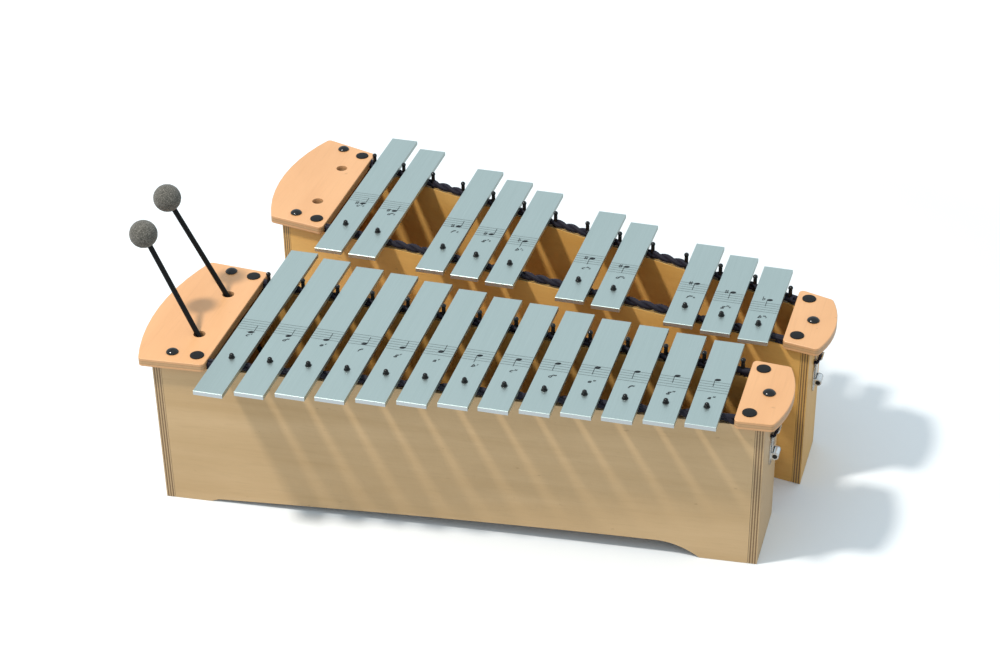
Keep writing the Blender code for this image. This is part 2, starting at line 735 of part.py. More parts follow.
def make_plate(box, material, parent):
    """The tensioner's base plate, with two ears that carry the pivot pin."""
    pivot = pivot_place(box)
    low = box.right + GAP
    high = box.right + PLATE_FACE
    bottom = pivot.z - PLATE_BOTTOM_UNDER_PIVOT
    top = STRAND_HEIGHT - STRAND_RADIUS - PLATE_TOP_UNDER_STRAND
    half = PLATE_WIDTH / 2
    corner = PLATE_WIDTH / 5
    outline = [
        (-half, bottom + corner),
        (corner - half, bottom),
        (half - corner, bottom),
        (half, bottom + corner),
        (half, top - corner),
        (half - corner, top),
        (corner - half, top),
        (-half, top - corner),
    ]
    bm = bmesh.new()
    add_layers(bm, [[(x, pivot.y + y, z) for y, z in outline] for x in (low, high)])
    plate = make_object(f"{box.name}_tensioner_plate", bm, material, parent)
    ears = bmesh.new()
    radius = PIVOT_RADIUS + FIT_CLEARANCE + EYE_WALL
    for side in (-1, 1):
        near = side * (LEVER_WIDTH / 2 + GAP)
        far = near + side * EAR_THICKNESS
        ear = [(low + PLATE_THICKNESS / 2, pivot.z + radius), (low + PLATE_THICKNESS / 2, pivot.z - radius)]
        for i in range(ROUND_SIDES // 2 + 1):
            angle = -math.pi / 2 + math.pi * i / (ROUND_SIDES // 2)
            ear.append((pivot.x + radius * math.cos(angle), pivot.z + radius * math.sin(angle)))
        add_layers(ears, [[(x, pivot.y + y, z) for x, z in ear] for y in (near, far)])
    combine(plate, make_helper(f"{box.name}_tensioner_ears", ears, parent), "UNION")
    bore = make_rod(f"{box.name}_pivot_bore", PIVOT_RADIUS + FIT_CLEARANCE, PLATE_WIDTH, None, parent, pivot)
    combine(plate, bore, "DIFFERENCE")
    return plate


def make_rod(name, radius, length, material, parent, place):
    """A round rod along Y about its own middle; without a material it is only a cutter."""
    bm = bmesh.new()
    add_turned(bm, [(radius, -length / 2), (radius, length / 2)], (0, 0, 0), ROUND_SIDES)
    bmesh.ops.rotate(bm, verts=bm.verts, matrix=Matrix.Rotation(math.pi / 2, 3, "X"))
    if material:
        return make_object(name, bm, material, parent, place)
    return make_helper(name, bm, parent, place)


def arc(centre, radius, start, end, steps):
    points = []
    for i in range(steps + 1):
        angle = start + (end - start) * i / steps
        points.append((centre[0] + radius * math.cos(angle), centre[1] + radius * math.sin(angle)))
    return points


def make_lever(box, material, parent):
    """A bent strip: an eye rolled round the pivot, a flat shank, and a hook turned outwards."""
    inner = PIVOT_RADIUS + FIT_CLEARANCE
    outer = inner + LEVER_THICKNESS
    hook = (HOOK_OUT - PIVOT_OUT, PIVOT_DROP + HOOK_RISE)
    hook_inner = STRAND_RADIUS + GAP
    hook_outer = hook_inner + LEVER_THICKNESS
    bend = hook[1] - hook_outer
    outline = [(-outer, bend + LEVER_THICKNESS * 0.25)]
    outline += arc((0, 0), outer, math.pi, math.pi + EYE_SWEEP, 14)
    outline += arc((0, 0), inner, math.pi + EYE_SWEEP, math.pi, 14)
    outline.append((-inner, bend - LEVER_THICKNESS * 0.6))
    outline += arc(hook, hook_outer, HOOK_START, HOOK_OPENING, 6)
    outline += arc(hook, hook_inner, HOOK_OPENING, HOOK_START, 6)
    bm = bmesh.new()
    add_layers(bm, [[(x, y, z) for x, z in outline] for y in (-LEVER_WIDTH / 2, LEVER_WIDTH / 2)])
    return make_object(f"{box.name}_tensioner_lever", bm, material, parent, pivot_place(box))


def make_strand_bores(box, parent):
    """The two wide holes in the right end panel that the strands come out of."""
    bm = bmesh.new()
    for side in (-1, 1):
        profile = [(STRAND_HOLE_RADIUS, -END_THICKNESS), (STRAND_HOLE_RADIUS, END_THICKNESS)]
        add_turned(bm, profile, (0, side * STRAND_SPACING / 2, 0), ROUND_SIDES)
    bmesh.ops.rotate(bm, verts=bm.verts, matrix=Matrix.Rotation(math.pi / 2, 3, "Y"))
    place = (box.right - END_THICKNESS / 2, hook_middle(box), STRAND_HEIGHT)
    return make_helper(f"{box.name}_strand_bores", bm, parent, place)


def make_mallet(box, name, side, lean, heading, shaft_material, head_material, parent):
    """A mallet standing in its hole, its tip on the bottom board; its Z axis is its shaft."""
    x, y = mallet_holes(box)[0 if side < 0 else 1]
    middle = BOARD_BOTTOM + BOARD_THICKNESS / 2
    axis = Vector((math.sin(lean) * math.cos(heading), math.sin(lean) * math.sin(heading), math.cos(lean)))
    low_point = BOTTOM_BOARD_TOP + GAP + MALLET_TIP_RADIUS * math.sin(lean)
    below = (middle - low_point) / math.cos(lean)
    frame = make_empty(name, (x, y, middle), axis.to_track_quat("Z", "Y").to_euler(), parent)
    head_place = MALLET_LENGTH - below
    shaft = [
        (MALLET_TIP_RADIUS, -below),
        (MALLET_SHAFT_RADIUS, -below * 0.8),
        (MALLET_SHAFT_RADIUS, head_place + MALLET_SHAFT_IN_HEAD),
    ]
    bm = bmesh.new()
    add_turned(bm, shaft, (0, 0, 0), ROUND_SIDES)
    make_object(f"{name}_handle", bm, shaft_material, frame)
    bm = bmesh.new()
    add_turned(bm, ball_profile(MALLET_HEAD_RADIUS, 0.0, 0.0, math.pi, 10), (0, 0, 0), BALL_SIDES)
    head = make_object(f"{name}_head", bm, head_material, frame, (0, 0, head_place))
    bm = bmesh.new()
    socket = MALLET_SHAFT_RADIUS + FIT_CLEARANCE
    deep = MALLET_SHAFT_IN_HEAD + FIT_CLEARANCE
    add_turned(bm, [(socket, -2 * MALLET_HEAD_RADIUS), (socket, deep)], (0, 0, 0), ROUND_SIDES)
    combine(head, make_helper(f"{name}_socket", bm, frame, (0, 0, head_place)), "DIFFERENCE")


def make_box(box, materials):
    """Everything that belongs to one resonator box and moves with it, and its bars."""
    parent = make_empty(f"{box.name}_box", (*box.place, 0.0), (0, 0, box.turn))
    wood = materials["birch"]
    cord, channel = make_cord(box, materials["cord"], parent)

    front_pins = [(x, box.front_line(x)) for x in box.front_pins()]
    rear_pins = [(x, box.rear_line(x)) for x in box.rear_pins()]
    way = PIN_STEM_RADIUS + PIN_WAY
    ways = make_ways(box, "pin_ways", front_pins + rear_pins, way, BOX_HEIGHT - PIN_ROOT, BAR_BOTTOM, 6, parent)
    combine(cord, ways, "DIFFERENCE")

    front = make_long_panel(box, "front_panel", box.front_face, box.front_depth(), wood, parent)
    rear = make_long_panel(box, "rear_panel", box.rear_face, -box.rear_depth(), wood, parent)
    for panel in (front, rear):
        combine(panel, channel, "DIFFERENCE")
    combine(front, make_pins(box, "front", box.front_pins(), box.front_line, True, parent), "UNION")
    combine(rear, make_pins(box, "rear", box.rear_pins(), box.rear_line, False, parent), "UNION")
    left_end = make_end_panel(box, "left_end", box.left, wood, parent)
    right_end = make_end_panel(box, "right_end", box.right_inner, wood, parent)
    for panel in (left_end, right_end):
        combine(panel, channel, "DIFFERENCE")
    combine(right_end, make_strand_bores(box, parent), "DIFFERENCE")
    make_bottom_board(box, materials["bottom"], parent)

    left_x = box.left - BOARD_LEFT_OVERHANG
    right_x = box.right + BOARD_RIGHT_OVERHANG
    left_board = (box.left_board_edge, left_x, box.left_bulge)
    right_board = (box.right_board_edge, right_x, BOARD_RIGHT_BULGE)
    boards = [
        ("left_top_board", left_board, pad_places(box, box.left_board_edge, -1), mallet_holes(box), left_cap_places(box)),
        ("right_top_board", right_board, pad_places(box, box.right_board_edge, 1), [], right_cap_places(box)),
    ]
    cap_number = 0
    for name, (inner_x, outer_x, bulge), pads, mallets, caps in boards:
        board = make_top_board(box, name, inner_x, outer_x, bulge, materials["board"], parent)
        combine(board, channel, "DIFFERENCE")
        combine(board, make_board_holes(box, name, mallets, caps, parent), "DIFFERENCE")
        combine(board, make_pads(box, name, pads, parent), "UNION")
        for place in caps:
            cap_number += 1
            make_cap(f"{box.name}_screw_cap_{cap_number}", place, materials["cap"], parent)

    make_plate(box, materials["steel"], parent)
    pivot = pivot_place(box)
    pin_length = LEVER_WIDTH + 2 * (GAP + EAR_THICKNESS)
    make_rod(f"{box.name}_tensioner_pin", PIVOT_RADIUS, pin_length, materials["cap"], parent, pivot)
    make_lever(box, materials["steel"], parent)
    make_object(f"{box.name}_cord_loop", tube_mesh("loop", loop_route(box), 0.0), materials["cord"], parent)

    low = BAR_BOTTOM - BAR_THICKNESS
    high = BAR_TOP + BAR_THICKNESS
    bar_ways = make_ways(box, "bar_holes", front_pins, BAR_HOLE_RADIUS, low, high, ROUND_SIDES, parent)
    for note, semitone, x in box.bars:
        make_bar(box, note, semitone, x, bar_ways, materials["bar"], parent)
    return parent


def main():
    for obj in list(bpy.data.objects):
        bpy.data.objects.remove(obj)
    materials = {
        "birch": make_material("birch_plywood", (0.53, 0.38, 0.20), 0.5),
        "bottom": make_material("bottom_plywood", (0.42, 0.28, 0.14), 0.6),
        "board": make_material("lacquered_board", (0.87, 0.50, 0.22), 0.35),
        "bar": make_material("bar_metal", (0.42, 0.52, 0.54), 0.35, 0.8),
        "cord": make_material("black_cord", (0.015, 0.013, 0.018), 0.8),
        "cap": make_material("black_plastic", (0.01, 0.01, 0.01), 0.2),
        "steel": make_material("plated_steel", (0.75, 0.75, 0.74), 0.25, 1.0),
        "felt": make_material("grey_felt", (0.17, 0.16, 0.15), 0.95),
    }
    diatonic = Box(
        "diatonic",
        (0.0, 0.0),
        0.0,
        DIATONIC_LENGTH,
        DIATONIC_FIRST_BAR,
        DIATONIC_LEFT_BULGE,
        (DIATONIC_FRONT_LEFT, DIATONIC_FRONT_RIGHT),
        (DIATONIC_REAR_LEFT, DIATONIC_REAR_RIGHT),
        (DIATONIC_LONGEST, DIATONIC_SHORTEST),
        (DIATONIC_CENTRE_LEFT, DIATONIC_CENTRE_RIGHT),
        diatonic_notes(),
    )
    chromatic = Box(
        "chromatic",
        CHROMATIC_PLACE,
        CHROMATIC_TURN,
        CHROMATIC_LENGTH,
        CHROMATIC_FIRST_BAR,
        CHROMATIC_LEFT_BULGE,
        (CHROMATIC_FRONT_LEFT, CHROMATIC_FRONT_RIGHT),
        (CHROMATIC_REAR_LEFT, CHROMATIC_REAR_RIGHT),
        (CHROMATIC_LONGEST, CHROMATIC_SHORTEST),
        (CHROMATIC_CENTRE_LEFT, CHROMATIC_CENTRE_RIGHT),
        chromatic_notes(),
    )
    parent = make_box(diatonic, materials)
    make_box(chromatic, materials)
    for name, side, lean, heading in MALLET_POSES:
        make_mallet(diatonic, name, side, lean, heading, materials["cap"], materials["felt"], parent)


main()
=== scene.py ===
"""Looks of the alto metallophone: birch boxes, twisted cords, satin bars with their notes, and mallets."""

import json
import math
import random

import bmesh
import bpy
from mathutils import Matrix, Vector


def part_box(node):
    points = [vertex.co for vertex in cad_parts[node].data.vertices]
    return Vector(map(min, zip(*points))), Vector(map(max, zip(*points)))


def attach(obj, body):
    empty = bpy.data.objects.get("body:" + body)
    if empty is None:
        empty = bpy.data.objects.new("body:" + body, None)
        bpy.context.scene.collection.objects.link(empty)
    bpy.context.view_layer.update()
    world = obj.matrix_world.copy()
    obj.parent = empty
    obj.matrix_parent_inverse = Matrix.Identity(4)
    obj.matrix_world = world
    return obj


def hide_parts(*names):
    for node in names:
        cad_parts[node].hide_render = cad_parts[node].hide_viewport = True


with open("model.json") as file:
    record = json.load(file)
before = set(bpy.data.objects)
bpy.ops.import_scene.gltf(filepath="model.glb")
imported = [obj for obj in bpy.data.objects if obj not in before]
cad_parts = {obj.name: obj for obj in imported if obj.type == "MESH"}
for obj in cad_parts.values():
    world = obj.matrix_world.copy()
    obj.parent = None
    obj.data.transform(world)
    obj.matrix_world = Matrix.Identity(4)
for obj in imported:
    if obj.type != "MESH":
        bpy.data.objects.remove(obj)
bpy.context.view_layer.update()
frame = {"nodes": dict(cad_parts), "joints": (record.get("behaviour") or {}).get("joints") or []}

random.seed(7)

# Sizes repeated from the part, in metres
GAP = 0.0003
BAR_WIDTH = 0.030
BAR_PITCH = 0.03912
BAR_THICKNESS = 0.0045
BOX_HEIGHT = 0.1635
PANEL = 0.009
BOARD_TOP = BOX_HEIGHT + GAP + PANEL
CORD_RADIUS = 0.0044
STRAND_RADIUS = 0.0018
CORD_HEIGHT = BOX_HEIGHT + GAP + CORD_RADIUS
BAR_BOTTOM = CORD_HEIGHT + CORD_RADIUS + GAP
BAR_TOP = BAR_BOTTOM + BAR_THICKNESS
PIN_TOP = BAR_TOP + 0.0050
STRAND_HEIGHT = BOX_HEIGHT - 0.0365
LEFT_HOLE_HEIGHT = BOX_HEIGHT - 0.0135
PLATE_FACE = GAP + 0.0010
MALLET_LENGTH = 0.284
BOARD_FRONT_OVERHANG = 0.0073
BOARD_REAR_OVERHANG = 0.0100
LEFT_BOARD_TO_BAR = 0.0104
RIGHT_BOARD_TO_BAR = 0.0127

NATURALS = "c4 d4 e4 f4 g4 a4 b4 c5 d5 e5 f5 g5 a5".split()
RAISED = "c_sharp4 d_sharp4 f_sharp4 g_sharp4 b_flat4 c_sharp5 d_sharp5 f_sharp5 g_sharp5 b_flat5".split()
RAISED_PLACES = [0, 1, 3, 4, 5, 7, 8, 10, 11, 12]


class Box:
    """Plan of one box, as in the part: its faces and bars at a distance x along it."""

    def __init__(self, name, place, turn, length, first, front, rear, centre, notes, places):
        self.name = name
        self.turn = turn
        self.matrix = Matrix.Translation((*place, 0)) @ Matrix.Rotation(turn, 4, "Z")
        self.left = -PANEL / 2
        self.right = self.left + length
        self.front = front
        self.rear = rear
        self.centre = centre
        self.bars = [(note, first + p * BAR_PITCH) for note, p in zip(notes, places)]
        self.first_x = self.bars[0][1]
        self.last_x = self.bars[-1][1]
        self.left_edge = self.first_x - BAR_WIDTH / 2 - LEFT_BOARD_TO_BAR
        self.right_edge = self.last_x + BAR_WIDTH / 2 + RIGHT_BOARD_TO_BAR

    def share(self, x):
        return (x - self.left) / (self.right - self.left)

    def front_face(self, x):
        return self.front[0] + (self.front[1] - self.front[0]) * self.share(x)

    def rear_face(self, x):
        return self.rear[0] + (self.rear[1] - self.rear[0]) * self.share(x)

    def front_slope(self):
        return (self.front[1] - self.front[0]) / (self.right - self.left)

    def rear_slope(self):
        return (self.rear[1] - self.rear[0]) / (self.right - self.left)

    def front_line(self, x):
        return self.front_face(x) + PANEL * math.hypot(1, self.front_slope()) / 2

    def rear_line(self, x):
        return self.rear_face(x) - PANEL * math.hypot(1, self.rear_slope()) / 2

    def middle(self, x):
        return (self.front_face(x) + self.rear_face(x)) / 2

    def bar_centre(self, x):
        along = (x - self.first_x) / (self.last_x - self.first_x)
        return self.centre[0] + (self.centre[1] - self.centre[0]) * along

    def rear_pins(self):
        places = set()
        for _, x in self.bars:
            places.add(round(x - BAR_PITCH / 2, 6))
            places.add(round(x + BAR_PITCH / 2, 6))
        return sorted(places)

    def direction(self, x, y):
        """A plan direction of the box in the part's own frame."""
        return (self.matrix.to_3x3() @ Vector((x, y, 0))).normalized()


DIATONIC = Box("diatonic", (0.0, 0.0), 0.0, 0.6087, 0.0779, (-0.0844, -0.0440), (0.0910, 0.0433),
               (0.0, 0.0), NATURALS, range(13))
CHROMATIC = Box("chromatic", (0.0282, 0.3016), math.radians(-0.73), 0.6032, 0.0738, (-0.0843, -0.1951),
                (0.0843, -0.1135), (-0.0198, -0.1383), RAISED, RAISED_PLACES)


# Node helpers
class Shader:
    """A material's node tree with short calls for the nodes that recur."""

    def __init__(self, name):
        self.material = bpy.data.materials.new(name)
        self.material.use_nodes = True
        self.tree = self.material.node_tree
        self.bsdf = self.tree.nodes["Principled BSDF"]
        self.coord = self.tree.nodes.new("ShaderNodeTexCoord")

    def link(self, out, into):
        self.tree.links.new(out, into)

    def set(self, **values):
        for key, value in values.items():
            self.bsdf.inputs[key.replace("_", " ")].default_value = value

    def feed(self, socket, value):
        if isinstance(value, bpy.types.NodeSocket):
            self.link(value, socket)
        else:
            socket.default_value = value

    def math(self, operation, a, b=0.0, clamp=False):
        node = self.tree.nodes.new("ShaderNodeMath")
        node.operation = operation
        node.use_clamp = clamp
        self.feed(node.inputs[0], a)
        self.feed(node.inputs[1], b)
        return node.outputs[0]

    def dot(self, vector, direction):
        node = self.tree.nodes.new("ShaderNodeVectorMath")
        node.operation = "DOT_PRODUCT"
        self.link(vector, node.inputs[0])
        node.inputs[1].default_value = direction
        return node.outputs["Value"]

    def place(self, scale, turn=0.0, shift=(0, 0, 0)):
        node = self.tree.nodes.new("ShaderNodeMapping")
        node.inputs["Scale"].default_value = scale
        node.inputs["Rotation"].default_value = (0, 0, turn)
        node.inputs["Location"].default_value = shift
        self.link(self.coord.outputs["Object"], node.inputs["Vector"])
        return node.outputs[0]

    def noise(self, vector, scale, detail=4.0, roughness=0.55, distortion=0.0):
        node = self.tree.nodes.new("ShaderNodeTexNoise")
        node.inputs["Scale"].default_value = scale
        node.inputs["Detail"].default_value = detail
        node.inputs["Roughness"].default_value = roughness
        node.inputs["Distortion"].default_value = distortion
        self.link(vector, node.inputs["Vector"])
        return node.outputs["Fac"]

    def ramp(self, factor, stops):
        node = self.tree.nodes.new("ShaderNodeValToRGB")
        elements = node.color_ramp.elements
        while len(elements) < len(stops):
            elements.new(0.5)
        for element, (at, colour) in zip(elements, stops):
            element.position = at
            element.color = (*colour, 1) if isinstance(colour, tuple) else (colour, colour, colour, 1)
        self.link(factor, node.inputs[0])
        return node.outputs[0]

    def mix(self, factor, a, b, blend="MIX"):
        node = self.tree.nodes.new("ShaderNodeMix")
        node.data_type = "RGBA"
        node.blend_type = blend
        self.feed(node.inputs[0], factor)
        for socket, value in ((node.inputs[6], a), (node.inputs[7], b)):
            self.feed(socket, value if isinstance(value, bpy.types.NodeSocket) else (*value, 1))
        return node.outputs[2]

    def bump(self, height, strength, distance):
        node = self.tree.nodes.new("ShaderNodeBump")
        node.inputs["Strength"].default_value = strength
        node.inputs["Distance"].default_value = distance
        self.link(height, node.inputs["Height"])
        self.link(node.outputs[0], self.bsdf.inputs["Normal"])


def plywood(name, light, dark, thickness_direction, start, grain_turn, grain_axis=0, roughness=0.42, plies=7,
            black_over=None, edge=((0.30, 0.18, 0.085), (0.16, 0.085, 0.035))):
    """Birch plywood: figured veneer on the broad faces, its plies on the edges, and black fittings above."""
    s = Shader(name)
    stretch = [9.0, 9.0, 9.0]
    stretch[grain_axis] = 1.6
    if grain_axis == 0:
        stretch[2] = 22.0
    figure = s.noise(s.place(stretch, -grain_turn), 1.0, 5.0, 0.6, 0.6)
    fine_stretch = [520.0, 520.0, 520.0]
    fine_stretch[grain_axis] = 18.0
    pores = s.noise(s.place(fine_stretch, -grain_turn), 1.0, 3.0, 0.6)
    blotch = s.noise(s.place((14, 14, 14), 0.0, (3.1, 1.7, 0.4)), 1.0, 3.0, 0.5)
    face = s.ramp(figure, [(0.30, dark), (0.50, tuple((a + b) / 2 for a, b in zip(light, dark))), (0.70, light)])
    face = s.mix(s.math("MULTIPLY", s.ramp(pores, [(0.52, 0.0), (0.78, 1.0)]), 0.16), face,
                 tuple(c * 0.62 for c in dark))
    face = s.mix(s.math("MULTIPLY", s.ramp(blotch, [(0.42, 0.0), (0.75, 1.0)]), 0.22), face,
                 tuple(c * 0.86 for c in dark))
    flecks = s.noise(s.place((60, 60, 150)), 1.0, 2.0, 0.4)
    face = s.mix(s.math("MULTIPLY", s.ramp(flecks, [(0.735, 0.0), (0.76, 1.0)]), 0.30), face,
                 (0.26, 0.14, 0.06))

    depth = s.math("SUBTRACT", s.dot(s.coord.outputs["Object"], thickness_direction), start)
    ply = s.math("MULTIPLY", depth, plies / PANEL)
    whole = s.math("FLOOR", ply)
    part = s.math("FRACT", ply)
    odd = s.math("MODULO", s.math("ADD", whole, 100.0), 2.0)
    odd = s.math("GREATER_THAN", odd, 0.5)
    end_grain = s.noise(s.place((420, 420, 420)), 1.0, 3.0, 0.7)
    ply_light = s.mix(end_grain, tuple(c * 0.95 for c in light), tuple(c * 0.72 for c in light))
    ply_dark = s.mix(end_grain, *edge)
    layers = s.mix(odd, ply_light, ply_dark)
    near_line = s.math("MULTIPLY", s.math("ABSOLUTE", s.math("SUBTRACT", part, 0.5)), 2.0)
    layers = s.mix(s.math("MULTIPLY", s.ramp(near_line, [(0.80, 0.0), (0.96, 1.0)]), 0.55), layers,
                   (0.07, 0.035, 0.015))
    facing = s.math("ABSOLUTE", s.dot(s.coord.outputs["Normal"], thickness_direction))
    colour = s.mix(s.math("GREATER_THAN", facing, 0.6), layers, face)
    if black_over:
        above = s.math("GREATER_THAN", s.dot(s.coord.outputs["Object"], (0, 0, 1)), black_over)
        colour = s.mix(above, colour, (0.012, 0.012, 0.013))
    s.link(colour, s.bsdf.inputs["Base Color"])
    rough = s.ramp(figure, [(0.2, roughness + 0.08), (0.8, roughness - 0.04)])
    s.link(rough, s.bsdf.inputs["Roughness"])
    s.bump(pores, 0.12, 0.00025)
    s.set(Specular_IOR_Level=0.42, Coat_Weight=0.12, Coat_Roughness=0.28)
    return s.material


def bar_metal():
    """Satin metal with fine brushing along the bar, and its ends painted lighter as a painted highlight."""
    s = Shader("satin_bar_metal")
    brushed = s.noise(s.place((900, 14, 900)), 1.0, 4.0, 0.65)
    cloud = s.noise(s.place((18, 7, 18), 0.0, (0.3, 0.1, 0)), 1.0, 3.0, 0.5)
    colour = s.ramp(brushed, [(0.25, (0.455, 0.535, 0.510)), (0.75, (0.500, 0.580, 0.555))])
    colour = s.mix(s.math("MULTIPLY", s.ramp(cloud, [(0.35, 0.0), (0.8, 1.0)]), 0.15), colour, (0.57, 0.64, 0.62))
    # Painted highlight: faces that look along the bar, its ends, get a lighter colour.
    painted_bright_ends = s.math("GREATER_THAN", s.math("ABSOLUTE", s.dot(s.coord.outputs["Normal"], (0, 1, 0))), 0.8)
    colour = s.mix(painted_bright_ends, colour, (0.66, 0.70, 0.71))
    s.link(colour, s.bsdf.inputs["Base Color"])
    s.set(Metallic=0.92)
    s.link(s.ramp(brushed, [(0.2, 0.44), (0.8, 0.38)]), s.bsdf.inputs["Roughness"])
    s.bump(brushed, 0.03, 0.0001)
    return s.material


def cord_fibre():
    """Dark cord whose fibres run along its strands."""
    s = Shader("dark_cord_fibre")
    fuzz = s.noise(s.place((1400, 1400, 1400)), 1.0, 3.0, 0.7)
    broad = s.noise(s.place((160, 160, 160)), 1.0, 2.0, 0.5)
    colour = s.ramp(fuzz, [(0.3, (0.004, 0.0035, 0.006)), (0.7, (0.018, 0.016, 0.026))])
    colour = s.mix(s.math("MULTIPLY", broad, 0.20), colour, (0.04, 0.035, 0.055))
    s.link(colour, s.bsdf.inputs["Base Color"])
    s.set(Roughness=0.62, Specular_IOR_Level=0.2, Sheen_Weight=0.08, Sheen_Tint=(0.55, 0.5, 0.75, 1))
    s.bump(fuzz, 0.5, 0.0004)
    return s.material


def black_plastic(name, roughness, bump, tone=0.008, shine=0.22):
    s = Shader(name)
    grain = s.noise(s.place((700, 700, 700)), 1.0, 3.0, 0.6)
    s.link(s.ramp(grain, [(0.3, (tone * 0.7,) * 3), (0.7, (tone * 1.35,) * 3)]), s.bsdf.inputs["Base Color"])
    s.link(s.ramp(grain, [(0.3, roughness - 0.05), (0.7, roughness + 0.06)]), s.bsdf.inputs["Roughness"])
    s.bump(grain, bump, 0.0002)
    s.set(Specular_IOR_Level=shine)
    return s.material


def felt():
    """Grey felt: mottled short fibres with a soft edge."""
    s = Shader("grey_felt_nap")
    nap = s.noise(s.place((900, 900, 900)), 1.0, 5.0, 0.75, 0.4)
    blotch = s.noise(s.place((150, 150, 150)), 1.0, 3.0, 0.6)
    colour = s.ramp(nap, [(0.34, (0.018, 0.016, 0.012)), (0.50, (0.095, 0.086, 0.070)), (0.68, (0.34, 0.315, 0.265))])
    colour = s.mix(s.math("MULTIPLY", blotch, 0.25), colour, (0.085, 0.078, 0.068))
    s.link(colour, s.bsdf.inputs["Base Color"])
    s.set(Roughness=0.95, Sheen_Weight=0.25, Sheen_Roughness=0.5, Sheen_Tint=(0.8, 0.78, 0.74, 1))
    s.bump(nap, 0.8, 0.0009)
    return s.material


def plated_steel():
    s = Shader("bright_plated_steel")
    scratch = s.noise(s.place((260, 260, 1500)), 1.0, 4.0, 0.6)
    s.link(s.ramp(scratch, [(0.3, (0.62, 0.63, 0.63)), (0.7, (0.83, 0.83, 0.82))]), s.bsdf.inputs["Base Color"])
    s.link(s.ramp(scratch, [(0.3, 0.16), (0.7, 0.30)]), s.bsdf.inputs["Roughness"])
    s.set(Metallic=1.0)
    s.bump(scratch, 0.06, 0.0001)
    return s.material


def printed_ink():
    s = Shader("printed_ink")
    wear = s.noise(s.place((500, 500, 500)), 1.0, 2.0, 0.5)
    s.link(s.ramp(wear, [(0.3, (0.012, 0.014, 0.016)), (0.8, (0.035, 0.041, 0.044))]), s.bsdf.inputs["Base Color"])
    s.set(Roughness=0.7, Specular_IOR_Level=0.15)
    return s.material


FELT = felt()
CORD = cord_fibre()
PIN_BLACK = black_plastic("pin_black", 0.18, 0.02, 0.007, 0.32)
CAP_BLACK = black_plastic("cap_black", 0.17, 0.02, 0.007, 0.40)
RUBBER = black_plastic("rubber_black", 0.55, 0.25, 0.012, 0.15)
SHAFT = black_plastic("shaft_black", 0.34, 0.05, 0.005, 0.15)
STEEL = plated_steel()
METAL = bar_metal()
INK = printed_ink()


def set_material(node, material):
    obj = frame["nodes"][node]
    obj.data.materials.clear()
    obj.data.materials.append(material)


def new_piece(name, bm, material, body, smooth=40):
    """A finished mesh as a piece that rides on a body."""
    bmesh.ops.recalc_face_normals(bm, faces=bm.faces)
    mesh = bpy.data.meshes.new(name)
    bm.to_mesh(mesh)
    bm.free()
    mesh.materials.append(material)
    mesh.shade_smooth()
    mesh.set_sharp_from_angle(angle=math.radians(smooth))
    obj = bpy.data.objects.new(name, mesh)
    bpy.context.scene.collection.objects.link(obj)
    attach(obj, body)
    return obj


def add_turned(bm, profile, matrix, sides):
    """A turned solid: profile of (radius, height) from its foot to its top, placed by a matrix."""
    rings = []
    for radius, height in profile:
        if radius < 1e-7:
            rings.append([bm.verts.new(matrix @ Vector((0, 0, height)))])
            continue
        rings.append([bm.verts.new(matrix @ Vector((radius * math.cos(2 * math.pi * i / sides),
                                                    radius * math.sin(2 * math.pi * i / sides), height)))
                      for i in range(sides)])
    if len(rings[0]) > 1:
        bm.faces.new(rings[0][::-1])
    if len(rings[-1]) > 1:
        bm.faces.new(rings[-1])
    for low, high in zip(rings, rings[1:]):
        for i in range(sides):
            j = (i + 1) % sides
            if len(low) == 1:
                bm.faces.new((low[0], high[j], high[i]))
            elif len(high) == 1:
                bm.faces.new((low[i], low[j], high[0]))
            else:
                bm.faces.new((low[i], low[j], high[j], high[i]))


def round_profile(radius, centre, start, end, steps):
    """Arc of a circle's right half, between two angles in degrees from its lowest point."""
    points = []
    for i in range(steps + 1):
        angle = math.radians(start + (end - start) * i / steps)
        points.append((max(0.0, radius * math.sin(angle)), centre - radius * math.cos(angle)))
    return points


# Wood. The warm colours are the same birch with painted warm bounce light, as it falls inside and between the boxes.
BIRCH_LIGHT = (0.67, 0.455, 0.243)
BIRCH_DARK = (0.545, 0.350, 0.165)
# Birch with painted warm bounce light: for the chromatic box and the diatonic rear panel
BOUNCE_WARMED_LIGHT = (0.81, 0.480, 0.150)
BOUNCE_WARMED_DARK = (0.67, 0.345, 0.080)
BOARD_LIGHT = (0.77, 0.415, 0.194)
BOARD_DARK = (0.67, 0.338, 0.148)
PINS_FROM = BOX_HEIGHT + 0.0001
DISCS_FROM = BOARD_TOP + 0.0001

